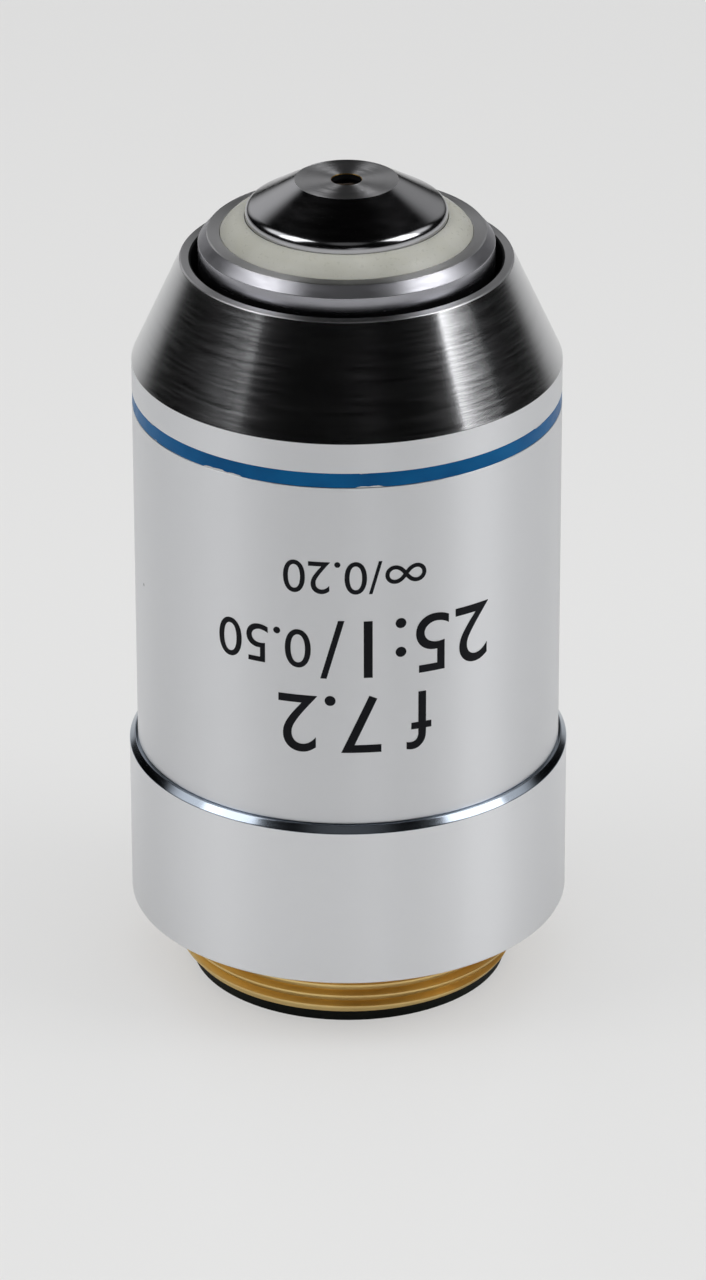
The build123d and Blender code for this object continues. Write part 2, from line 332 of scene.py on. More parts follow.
@dataclass(frozen=True)
class TurnedMetal(Finish):
    """Metal with tool marks that run round the axis.

    The marks scatter light across themselves, so highlights stretch along the section.
    """

    colour: Colour
    roughness: float
    stretch: float = 0.0
    mark_depth: float = 0.0
    marks_per_metre: float = 9000.0
    marks_round: float = 120.0
    unevenness: float = 0.16
    stain: Colour | None = None
    speck_share: float = 0.0

    STAIN_SCALE = 160.0
    STAIN_RANGE = (0.42, 0.72)
    STAIN_SHARE = 0.4
    SPECKS = (420.0, 0.045, 0.075)
    SPECK_COLOUR = linear(44, 44, 50)

    def make(self) -> Material:
        """Build the material.

        Returns:
            The material.
        """
        sketch = Sketch(self.name)
        lines = sketch.turned_lines(self.marks_round, self.marks_per_metre)
        marks = sketch.noise(lines, 1.0, sketch.FINE)
        colour: Any = self.colour
        if self.stain is not None:
            cloud = sketch.noise(sketch.place(), self.STAIN_SCALE, sketch.FINE)
            share = sketch.band(cloud, *self.STAIN_RANGE, 0.0, self.STAIN_SHARE)
            colour = sketch.mix(share, colour, self.stain)
        if self.speck_share > 0:
            colour = sketch.mix(sketch.specks(*self.SPECKS, self.speck_share), colour, self.SPECK_COLOUR)
        spread = self.roughness * self.unevenness
        rough = sketch.band(marks, *sketch.NOISE_RANGE, self.roughness - spread, self.roughness + spread)
        if self.stretch > 0:
            sketch.feed({"Anisotropic": self.stretch, "Tangent": sketch.tangent()})
        if self.mark_depth > 0:
            sketch.feed({"Normal": sketch.bump(marks, self.mark_depth)})
        return sketch.feed({"Metallic": 1.0, "Base Color": colour, "Roughness": rough})


@dataclass(frozen=True)
class BandLacquer(Finish):
    """Coloured lacquer in a node's groove, with small chips along its edges that show the plating."""

    colour: Colour
    deep: Colour
    metal: Colour
    node: str
    chip_reach: float = 0.00028
    upper_reach: float = 0.5
    upper_share: float = 0.8
    grain_share: float = 0.1
    depth: float = 0.00003

    RAGGED_SCALE = 1500.0
    PATCH_SCALE = 210.0
    PATCH_RANGE = (0.47, 0.59)
    CHIP_RANGE = (1.02, 1.06)
    CLOUD_SCALE = 260.0
    CLOUD_RANGE = (0.35, 0.65)
    ROUGHNESS = (0.3, 0.42)
    SPECULAR = 0.11

    def make(self) -> Material:
        """Build the material.

        Returns:
            The material.
        """
        sketch = Sketch(self.name)
        groove = Extent.of(self.node)
        place = sketch.place()
        height = sketch.add("ShaderNodeSeparateXYZ", {0: place}).outputs["Z"]
        ragged = sketch.noise(place, self.RAGGED_SCALE, sketch.FINE)
        patches = sketch.band(sketch.noise(place, self.PATCH_SCALE, sketch.COARSE), *self.PATCH_RANGE)
        low_edge = sketch.band(height, groove.low, groove.low + self.chip_reach, 1.0, 0.0)
        upper_start = groove.high - self.chip_reach * self.upper_reach
        high_edge = sketch.band(height, upper_start, groove.high, 0.0, self.upper_share)
        loose = sketch.math("MULTIPLY", patches, sketch.math("MAXIMUM", low_edge, high_edge))
        chip = sketch.band(sketch.math("ADD", loose, ragged), *self.CHIP_RANGE)
        cloud = sketch.band(sketch.noise(place, self.CLOUD_SCALE), *self.CLOUD_RANGE)
        paint = sketch.mix(cloud, self.colour, self.deep)
        lowered = sketch.math("SUBTRACT", sketch.math("MULTIPLY", ragged, self.grain_share), chip)
        values = {
            "Base Color": sketch.mix(chip, paint, self.metal),
            "Metallic": chip,
            "Roughness": sketch.band(ragged, *sketch.NOISE_RANGE, *self.ROUGHNESS),
            "Specular IOR Level": self.SPECULAR,
            "Normal": sketch.bump(lowered, self.depth),
        }
        return sketch.feed(values)


@dataclass(frozen=True)
class Paint(Finish):
    """Paint, ink or dark oxide with a fine grain."""

    colour: Colour
    worn: Colour
    roughness: float
    grain_depth: float = 0.000004
    sheen: float = 0.2
    unevenness: float = 0.15

    GRAIN_SCALE = 9000.0
    CLOUD_SCALE = 380.0
    CLOUD_RANGE = (0.4, 0.75)

    def make(self) -> Material:
        """Build the material.

        Returns:
            The material.
        """
        sketch = Sketch(self.name)
        place = sketch.place()
        grain = sketch.noise(place, self.GRAIN_SCALE)
        cloud = sketch.band(sketch.noise(place, self.CLOUD_SCALE, sketch.FINE), *self.CLOUD_RANGE)
        ends = (self.roughness * (1 - self.unevenness), self.roughness * (1 + self.unevenness))
        values = {
            "Base Color": sketch.mix(cloud, self.colour, self.worn),
            "Roughness": sketch.band(grain, *sketch.NOISE_RANGE, *ends),
            "Specular IOR Level": self.sheen,
            "Normal": sketch.bump(grain, self.grain_depth),
        }
        return sketch.feed(values)


@dataclass(frozen=True)
class SoftPolymer(Finish):
    """Pale seal polymer that lets a little light in."""

    colour: Colour
    aged: Colour
    dirt: Colour
    grain_depth: float = 0.000006

    CLOUD_SCALE = 420.0
    CLOUD_RANGE = (0.35, 0.7)
    GRAIN_SCALE = 5200.0
    SPECKS = (640.0, 0.06, 0.1, 0.035)
    ROUGHNESS = (0.26, 0.4)
    SPECULAR = 0.5
    LET_IN = {"Subsurface Weight": 0.25, "Subsurface Scale": 0.0004, "Subsurface Radius": (1.0, 0.9, 0.6)}

    def make(self) -> Material:
        """Build the material.

        Returns:
            The material.
        """
        sketch = Sketch(self.name)
        place = sketch.place()
        cloud = sketch.band(sketch.noise(place, self.CLOUD_SCALE, sketch.FINE), *self.CLOUD_RANGE)
        grain = sketch.noise(place, self.GRAIN_SCALE)
        base = sketch.mix(cloud, self.colour, self.aged)
        values = {
            "Base Color": sketch.mix(sketch.specks(*self.SPECKS), base, self.dirt),
            "Roughness": sketch.band(grain, *sketch.NOISE_RANGE, *self.ROUGHNESS),
            "Specular IOR Level": self.SPECULAR,
            "Normal": sketch.bump(grain, self.grain_depth),
        }
        return sketch.feed(values | self.LET_IN)


@dataclass(frozen=True)
class OpticalGlass(Finish):
    """Clear glass with a little dust, coated unless its film is 0."""

    tint: Colour
    index: float
    film: float = 120.0

    DUST_SCALE = 2600.0
    DUST_RANGE = (0.55, 0.8)
    DUST_ROUGHNESS = 0.03
    FILM_INDEX = 1.38

    def make(self) -> Material:
        """Build the material.

        Returns:
            The material.
        """
        sketch = Sketch(self.name)
        dust = sketch.noise(sketch.place(), self.DUST_SCALE)
        values = {
            "Base Color": self.tint,
            "Transmission Weight": 1.0,
            "IOR": self.index,
            "Roughness": sketch.band(dust, *self.DUST_RANGE, 0.0, self.DUST_ROUGHNESS),
            "Thin Film Thickness": self.film,
            "Thin Film IOR": self.FILM_INDEX,
        }
        return sketch.feed(values)


SATIN_MARKS = {
    "stretch": 0.85,
    "marks_per_metre": 24000.0,
    "marks_round": 900.0,
    "unevenness": 0.06,
    "speck_share": 0.012,
}


class Surface(Enum):
    """The objective's finishes."""

    SATIN = TurnedMetal("satin_plating", (0.845, 0.855, 0.88), 0.36, **SATIN_MARKS)
    # Painted light: the base ring's plating is a brighter copy of the barrel's satin plating.
    LIT_BASE_SATIN = TurnedMetal("base_plating_painted_light", (0.885, 0.895, 0.92), 0.33, **SATIN_MARKS)
    BRIGHT = TurnedMetal(
        "bright_cut",
        (0.62, 0.625, 0.64),
        0.16,
        stretch=0.65,
        mark_depth=0.0000018,
        marks_per_metre=9500.0,
        marks_round=320.0,
    )
    # Painted shade: the polished bevel is a darker, bluish copy of the base plating, which darkens what its
    # sides mirror.
    SHADED_BEVEL = TurnedMetal("polished_bevel_painted_shade", (0.38, 0.43, 0.5), 0.14, stretch=0.2)
    SLEEVE = TurnedMetal(
        "sleeve_plating", (0.54, 0.54, 0.58), 0.37, stretch=0.45, mark_depth=0.0000008, marks_round=600.0
    )
    # Painted shade: the nose wall is a darker copy of the sleeve plating, standing in for the shade in the
    # gap below the barrel's mouth.
    SHADED_NOSE_WALL = TurnedMetal("nose_wall_painted_shade", (0.37, 0.37, 0.4), 0.24, stretch=0.3, marks_round=600.0)
    STEEL = TurnedMetal("front_cell_steel", (0.5, 0.5, 0.52), 0.15, stretch=0.4, marks_round=600.0)
    FACED = TurnedMetal(
        "faced_steel", (0.8, 0.8, 0.82), 0.4, stretch=0.9, mark_depth=0.0000008, marks_round=600.0
    )
    BRASS = TurnedMetal(
        "cut_brass", (0.93, 0.69, 0.3), 0.34, mark_depth=0.000002, stain=linear(165, 122, 58)
    )
    INNER_BRASS = TurnedMetal(
        "inner_brass", linear(200, 164, 96), 0.32, mark_depth=0.000004, stain=linear(150, 112, 56)
    )
    SPRING = TurnedMetal("spring_wire", (0.36, 0.35, 0.34), 0.32, stain=(0.2, 0.16, 0.12))
    BLACK = Paint("rear_ring_paint", linear(12, 18, 14), linear(22, 29, 24), 0.5)
    MATT_BLACK = Paint("matt_black", linear(14, 14, 15), linear(24, 24, 25), 0.7)
    INK = Paint(
        "marking_ink", linear(11, 12, 18), linear(20, 21, 28), 0.5, grain_depth=0.000002, sheen=0.15
    )
    BLUE = BandLacquer(
        "band_lacquer", linear(0, 100, 158), linear(0, 81, 136), (0.69, 0.69, 0.7), "colour_band"
    )
    CREAM = SoftPolymer("seal_polymer", linear(189, 189, 181), linear(178, 178, 168), linear(96, 92, 74))
    CROWN = OpticalGlass("clear_crown", (0.98, 0.99, 0.98), 1.52)
    FLINT = OpticalGlass("clear_flint", (0.97, 0.98, 0.94), 1.65, film=0.0)

    @cached_property
    def material(self) -> Material:
        """Give the finish's material, made on its first use."""
        return self.value.make()


def add_object(name: str, mesh: bpy.types.Mesh) -> Piece:
    """Put a mesh into the scene as an object at the origin.

    Args:
        name: Name of the object.
        mesh: Its mesh.

    Returns:
        The new object.
    """
    made = bpy.data.objects.new(name, mesh)
    bpy.context.scene.collection.objects.link(made)
    return made


def add_shape(name: str, shape: bmesh.types.BMesh) -> Piece:
    """Turn a shape under construction into an object.

    Args:
        name: Name of the object.
        shape: The shape, which is freed.

    Returns:
        The new object.
    """
    mesh = bpy.data.meshes.new(name)
    shape.to_mesh(mesh)
    shape.free()
    return add_object(name, mesh)


def shade_smooth(made: Piece) -> None:
    """Shade a piece smooth, apart from its sharp edges."""
    made.data.polygons.foreach_set("use_smooth", [True] * len(made.data.polygons))
    made.data.set_sharp_from_angle(angle=SHARP_ANGLE)


def evaluated_mesh(made: Piece) -> bpy.types.Mesh:
    """Give what an object's modifiers or text make of it, as a plain mesh."""
    graph = bpy.context.evaluated_depsgraph_get()
    return bpy.data.meshes.new_from_object(made.evaluated_get(graph), depsgraph=graph)


def settle(made: Piece) -> None:
    """Turn an object's modifiers into a plain mesh.

    Args:
        made: The object, which keeps its name and place.
    """
    mesh = evaluated_mesh(made)
    made.modifiers.clear()
    spare = made.data
    made.data = mesh
    bpy.data.meshes.remove(spare)


def cut_away(made: Piece, shape: bmesh.types.BMesh, place: Matrix) -> None:
    """Cut a shape out of a piece.

    Args:
        made: The piece.
        shape: The shape, which is freed.
        place: Where the shape goes, and its scale.
    """
    shape.transform(place)
    cutter = add_shape("cutter", shape)
    modifier = made.modifiers.new("cut", "BOOLEAN")
    modifier.object = cutter
    modifier.operation = "DIFFERENCE"
    modifier.solver = "EXACT"
    settle(made)
    bpy.data.meshes.remove(cutter.data)


@dataclass(frozen=True)
class Corner:
    """One corner of a turned section.

    Attributes:
        radius: Distance from the axis.
        height: Height along the axis.
        fillet: Radius of the rounding at the corner.
        finish: Number of the finish on the stretch from this corner to the next.
    """

    radius: float
    height: float
    fillet: float = 0.0
    finish: int = 0


class Lathe:
    """Turns closed sections about the optical axis into smooth meshes."""

    UV_NAME = "turned"
    UV_PER_METRE = 100
    SEGMENTS = 256
    ON_AXIS = 1e-9
    FILLET_STEPS = 5
    FILLET_SHARE = 0.45
    SUPPORT = 0.00003
    SUPPORT_ROOM = 8 * SUPPORT

    @classmethod
    def rounded(cls, corners: Sequence[Corner]) -> list[SectionPoint]:
        """Round the corners of a section and add support points beside the roundings.

        Args:
            corners: The section's corners, in order round it.

        Returns:
            Points of the section with the finish of the stretch that follows each.
        """
        points: list[SectionPoint] = []
        for index, corner in enumerate(corners):
            if corner.fillet <= 0:
                points.append((corner.radius, corner.height, corner.finish))
                continue
            before, after = corners[index - 1], corners[(index + 1) % len(corners)]
            here = Vector((corner.radius, corner.height))
            back = Vector((before.radius, before.height)) - here
            ahead = Vector((after.radius, after.height)) - here
            turn = math.pi - back.angle(ahead)
            longest = cls.FILLET_SHARE * min(back.length, ahead.length)
            reach = min(corner.fillet * math.tan(turn / 2), longest)
            start = here + back.normalized() * reach
            end = here + ahead.normalized() * reach
            if back.length > reach + cls.SUPPORT_ROOM:
                lead = here + back.normalized() * (reach + cls.SUPPORT)
                points.append((lead.x, lead.y, before.finish))
            for step in range(cls.FILLET_STEPS + 1):
                share = step / cls.FILLET_STEPS
                first = (1 - share) ** 2
                middle = 2 * math.cos(turn / 2) * share * (1 - share)
                last = share**2
                spot = (start * first + here * middle + end * last) / (first + middle + last)
                points.append((spot.x, spot.y, corner.finish))
            if ahead.length > reach + cls.SUPPORT_ROOM:
                trail = here + ahead.normalized() * (reach + cls.SUPPORT)
                points.append((trail.x, trail.y, corner.finish))
        return points

    @classmethod
    def turn(cls, name: str, points: Sequence[SectionPoint], *surfaces: Surface) -> Piece:
        """Turn a closed section into a mesh object.

        Args:
            name: Name of the object.
            points: Points of the section, in order round it.
            *surfaces: Finishes that the points' finish numbers mean.

        Returns:
            The new object, at the origin.
        """
        shape = bmesh.new()
        layer = shape.loops.layers.uv.new(cls.UV_NAME)
        rings: list[list[bmesh.types.BMVert]] = []
        for radius, height, _ in points:
            reach = 0.0 if radius < cls.ON_AXIS else radius
            count = cls.SEGMENTS if reach else 1
            angles = [math.tau * step / count + math.pi / 2 for step in range(count)]
            places = [(reach * math.cos(angle), reach * math.sin(angle), height) for angle in angles]
            rings.append([shape.verts.new(place) for place in places])
        travelled = 0.0
        for index, (radius, height, finish) in enumerate(points):
            following = (index + 1) % len(points)
            low, high = rings[index], rings[following]
            if len(low) == 1 and len(high) == 1:
                continue
            start = travelled * cls.UV_PER_METRE
            travelled += math.hypot(points[following][0] - radius, points[following][1] - height)
            end = travelled * cls.UV_PER_METRE
            for step in range(cls.SEGMENTS):
                corners = cls._side(low, start, step) + cls._side(high, end, step)[::-1]
                face = shape.faces.new([vert for vert, _ in corners])
                face.material_index = finish
                for loop, (_, spot) in zip(face.loops, corners):
                    loop[layer].uv = spot
        bmesh.ops.recalc_face_normals(shape, faces=shape.faces[:])
        made = add_shape(name, shape)
        shade_smooth(made)
        for surface in surfaces:
            made.data.materials.append(surface.material)
        return made

    @classmethod
    def _side(
        cls, ring: list[bmesh.types.BMVert], along: float, step: int
    ) -> list[tuple[bmesh.types.BMVert, tuple[float, float]]]:
        """Give one side of a face between two rings.

        Args:
            ring: The side's ring, or a single point on the axis.
            along: Place of the ring along the section, on the UV map.
            step: Number of the face round the axis.

        Returns:
            The side's one or two points, with their places on the UV map.
        """
        turns = (step / cls.SEGMENTS, (step + 1) / cls.SEGMENTS)
        if len(ring) == 1:
            return [(ring[0], (along, sum(turns) / 2))]
        return [(ring[step], (along, turns[0])), (ring[(step + 1) % cls.SEGMENTS], (along, turns[1]))]


@dataclass(frozen=True)
class Extent:
    """Outer radius and heights of a CAD node."""

    radius: float
    low: float
    high: float

    @classmethod
    def of(cls, node: str) -> Extent:
        """Read a node's extent from the frame.

        Args:
            node: Name of the node.

        Returns:
            Its extent.
        """
        low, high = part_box(node)
        reach = max(abs(value) for corner in (low, high) for value in tuple(corner)[:2])
        return cls(reach, low[2], high[2])


class NodeTree(Nodes):
    """A Geometry Nodes tree with named inputs, used once on one object."""

    def __init__(self, name: str) -> None:
        """Start a tree.

        Args:
            name: Name of the tree.
        """
        super().__init__(bpy.data.node_groups.new(name, "GeometryNodeTree"))
        self.tree.interface.new_socket("Geometry", in_out="OUTPUT", socket_type="NodeSocketGeometry")
        self.source = self.add("NodeGroupInput")
        self.given: dict[str, Any] = {}

    def take(self, name: str, value: float | Material) -> Socket:
        """Add a named input, and keep its value by the socket's identifier.

        Args:
            name: Name of the input.
            value: A size in metres, a plain number or a material.

        Returns:
            The socket to link from.
        """
        kind = "NodeSocketMaterial" if isinstance(value, Material) else "NodeSocketFloat"
        item = self.tree.interface.new_socket(name, in_out="INPUT", socket_type=kind)
        self.given[item.identifier] = value
        return self.source.outputs[name]

    def helix(self, pitch: Socket, turns: Socket, radius: Socket, start: Socket, resolution: int) -> Socket:
        """Add a right-hand helix round the optical axis.

        Args:
            pitch: Rise of one turn.
            turns: Number of turns.
            radius: Radius of the helix.
            start: Height of its lower end.
            resolution: Points in one turn.

        Returns:
            The curve's socket, with its normals square to the axis.
        """
        values = {
            "Resolution": resolution,
            "Rotations": turns,
            "Start Radius": radius,
            "End Radius": radius,
            "Height": self.math("MULTIPLY", pitch, turns),
        }
        spiral = self.add("GeometryNodeCurveSpiral", values).outputs[0]
        lift = self.add("ShaderNodeCombineXYZ", {"Z": start}).outputs[0]
        raised = self.add("GeometryNodeSetPosition", {"Geometry": spiral, "Offset": lift}).outputs[0]
        return self.add("GeometryNodeSetCurveNormal", {"Curve": raised}, mode="Z_UP").outputs[0]

    def make(self, name: str, geometry: Socket, finish: Socket) -> Piece:
        """Close the tree, run it and give the result as a plain mesh object.

        Args:
            name: Name of the object.
            geometry: The finished geometry's socket.
            finish: The material's socket.

        Returns:
            The new object.
        """
        real = self.add("GeometryNodeRealizeInstances", {"Geometry": geometry}).outputs[0]
        dressed = self.add("GeometryNodeSetMaterial", {"Geometry": real, "Material": finish}).outputs[0]
        self.add("NodeGroupOutput", {0: dressed})
        made = add_object(name, bpy.data.meshes.new(name))
        modifier = made.modifiers.new(name, "NODES")
        modifier.node_group = self.tree
        for identifier, value in self.given.items():
            modifier[identifier] = value
        settle(made)
        shade_smooth(made)
        return made


class SubAssembly(ABC):
    """A group of pieces that is built and dressed together."""

    @abstractmethod
    def build(self) -> list[Piece]:
        """Make and dress the pieces, and give them."""

    @staticmethod
    def dress(made: Piece, body: Body, slot: Slot, *nodes: str) -> Piece:
        """Hang a piece on its body and hide the CAD nodes that it replaces.

        Args:
            made: The finished piece.
            body: Body that it rides on.
            slot: Material slot of the record; not used.
            *nodes: CAD nodes that it replaces.

        Returns:
            The piece.
        """
        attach(made, body.value)
        if nodes:
            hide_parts(*nodes)
        return made


@dataclass
class OuterBarrel(SubAssembly):
    """Satin barrel with its bright-cut cone, colour band and printed numbers."""

    wall: float = 0.00116
    cone_step: float = 0.00285
    cone_height: float = 0.00623
    cone_bore_drop: float = 0.0009
    rim_width: float = 0.00062
    rim_depth: float = 0.0005
    rim_fillet: float = 0.00012
    foot_fillet: float = 0.00008
    cone_fillet: float = 0.00006
    bore_fillet: float = 0.0001
    groove_depth: float = 0.00012
    groove_fillet: float = 0.00003
    band_drop: float = 0.000008
    band_gap: float = 0.000004
    band_fillet: float = 0.00005
    ink_height: float = 0.000012
    ink_azimuth: float = 2.0
    glyph_share: float = 0.727
    word_gap: float = 0.14
    bend_step: float = 0.00025
    weld: float = 1e-7

    LINES = (
        ("upper_numbers", (("∞/0.20", 0.0021),), 0.03014),
        ("middle_numbers", (("25:1/", 0.0038), ("0.50", 0.0025)), 0.02559),
        ("lower_numbers", (("f 7.2", 0.0038),), 0.02084),
    )

    def build(self) -> list[Piece]:
        """Make the barrel, the band and the printed lines, and give them."""
        return [self.barrel(), self.band(), *(self.printed_line(*line) for line in self.LINES)]

    def barrel(self) -> Piece:
        """Turn the barrel and its cone.

        Returns:
            The barrel.
        """
        satin, bright, dark, faced = range(4)
        size = Extent.of("outer_barrel")
        band = Extent.of("colour_band")
        cone_z = size.high - self.cone_height
        rim = size.radius - self.cone_step
        mouth = rim - self.rim_width
        bore = size.radius - self.wall
        groove = size.radius - self.groove_depth
        slope = self.cone_height / self.cone_step
        bore_top = cone_z - self.cone_bore_drop
        corners = [
            Corner(bore, size.low, 0, satin),
            Corner(size.radius, size.low, self.foot_fillet, satin),
            Corner(size.radius, band.low, self.groove_fillet, satin),
            Corner(groove, band.low, 0, satin),
            Corner(groove, band.high, 0, satin),
            Corner(size.radius, band.high, self.groove_fillet, satin),
            Corner(size.radius, cone_z, self.cone_fillet, bright),
            Corner(rim, size.high, self.rim_fillet, faced),
            Corner(mouth, size.high, self.rim_fillet, dark),
            Corner(mouth, size.high - self.rim_depth, 0, dark),
            Corner(mouth, bore_top + (bore - mouth) * slope, self.bore_fillet, dark),
            Corner(bore, bore_top, self.bore_fillet, dark),
        ]
        surfaces = (Surface.SATIN, Surface.BRIGHT, Surface.MATT_BLACK, Surface.FACED)
        made = Lathe.turn("barrel_shell", Lathe.rounded(corners), *surfaces)
        return self.dress(made, Body.BARREL, Slot.SATIN_CHROME, "outer_barrel")

    def band(self) -> Piece:
        """Turn the colour band, a hair below the barrel's surface.

        Returns:
            The band.
        """
        barrel = Extent.of("outer_barrel").radius
        size = Extent.of("colour_band")
        low, high = size.low + self.band_gap, size.high - self.band_gap
        face, inner = barrel - self.band_drop, barrel - self.groove_depth
        corners = [
            Corner(inner, low),
            Corner(face, low, self.band_fillet),
            Corner(face, high, self.band_fillet),
            Corner(inner, high),
        ]
        made = Lathe.turn("blue_band", Lathe.rounded(corners), Surface.BLUE)
        return self.dress(made, Body.BARREL, Slot.BLUE_LACQUER, "colour_band")

    def printed_line(self, name: str, words: Sequence[tuple[str, float]], height: float) -> Piece:
        """Print a line of plain numbers on the barrel, upside down as the objective stands.

        Args:
            name: Name of the piece.
            words: Texts and their glyph heights, side by side.
            height: Height of the line's middle.

        Returns:
            The printed line.
        """
        shape = bmesh.new()
        reach = 0.0
        gap = max(glyph for _, glyph in words) * self.word_gap
        for text, glyph in words:
            curve = bpy.data.curves.new(name, "FONT")
            curve.body = text
            curve.size = glyph / self.glyph_share
            curve.extrude = self.ink_height / 2
            holder = bpy.data.objects.new(name, curve)
            bpy.context.scene.collection.objects.link(holder)
            mesh = evaluated_mesh(holder)
            low = min(vert.co.x for vert in mesh.vertices)
            high = max(vert.co.x for vert in mesh.vertices)
            mesh.transform(Matrix.Translation((reach - low, -glyph / 2, 0)))
            reach += high - low + gap
            shape.from_mesh(mesh)
            bpy.data.objects.remove(holder)
            bpy.data.curves.remove(curve)
            bpy.data.meshes.remove(mesh)
        bmesh.ops.remove_doubles(shape, verts=shape.verts[:], dist=self.weld)
        middle = (reach - gap) / 2
        shape.transform(Matrix.Rotation(math.pi, 4, "Z") @ Matrix.Translation((-middle, 0, 0)))
        count = int(middle / self.bend_step) + 1
        for index in range(-count, count + 1):
            everything = shape.verts[:] + shape.edges[:] + shape.faces[:]
            plane = {"plane_co": (index * self.bend_step, 0, 0), "plane_no": (1, 0, 0)}
            bmesh.ops.bisect_plane(shape, geom=everything, **plane)
        radius = Extent.of("outer_barrel").radius
        for vert in shape.verts:
            angle = math.radians(self.ink_azimuth) + vert.co.x / radius
            out = radius + self.ink_height / 2 + vert.co.z
            vert.co = (out * math.sin(angle), -out * math.cos(angle), height + vert.co.y)
        bmesh.ops.recalc_face_normals(shape, faces=shape.faces[:])
        made = add_shape(name, shape)
        made.data.materials.append(Surface.INK.material)
        return self.dress(made, Body.BARREL, Slot.BLACK_PAINT)


